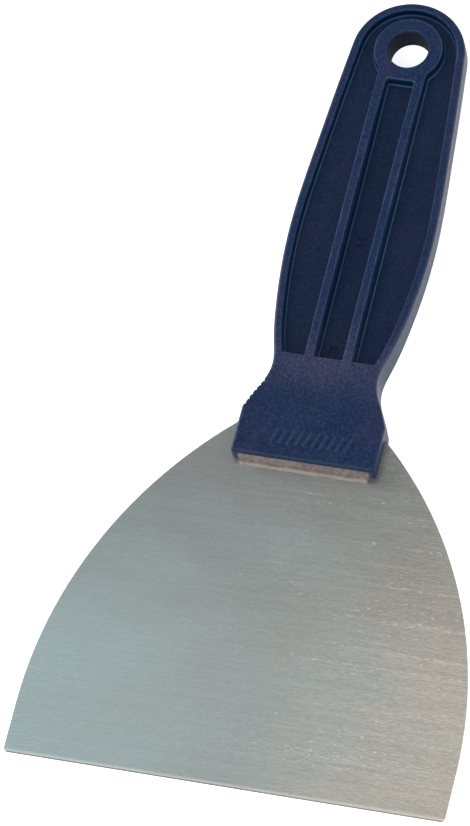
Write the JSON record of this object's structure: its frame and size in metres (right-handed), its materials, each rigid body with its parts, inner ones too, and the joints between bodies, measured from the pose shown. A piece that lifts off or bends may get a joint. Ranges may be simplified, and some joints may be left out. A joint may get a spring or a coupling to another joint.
{
  "type": "flexible putty knife",
  "caption": "Wide, thin, flexible steel blade with a straight working edge, set in a flat one-piece plastic handle with pockets, ribs and a hanging hole.",
  "frame": {"origin": "bottom centre of the knife's bounding box, lying on its back: below the blade's mid-plane by the height of the handle's ribs, half way between the working edge and the end of the handle", "axes": "+X across the blade, +Y from the working edge towards the hanging hole, +Z out of the front face"},
  "size_m": [0.1016, 0.1996, 0.0095],
  "materials": {
    "blade_steel": "cross-ground spring steel with a light oil film and fine scratches",
    "handle_plastic": "navy blue moulded plastic, satin, slightly worn along the edges",
    "potting_compound": "cured tan adhesive, mottled and dull"
  },
  "bodies": {
    "root": {"blade": "blade_steel", "handle": "handle_plastic", "potting": "potting_compound"}
  },
  "joints": []
}
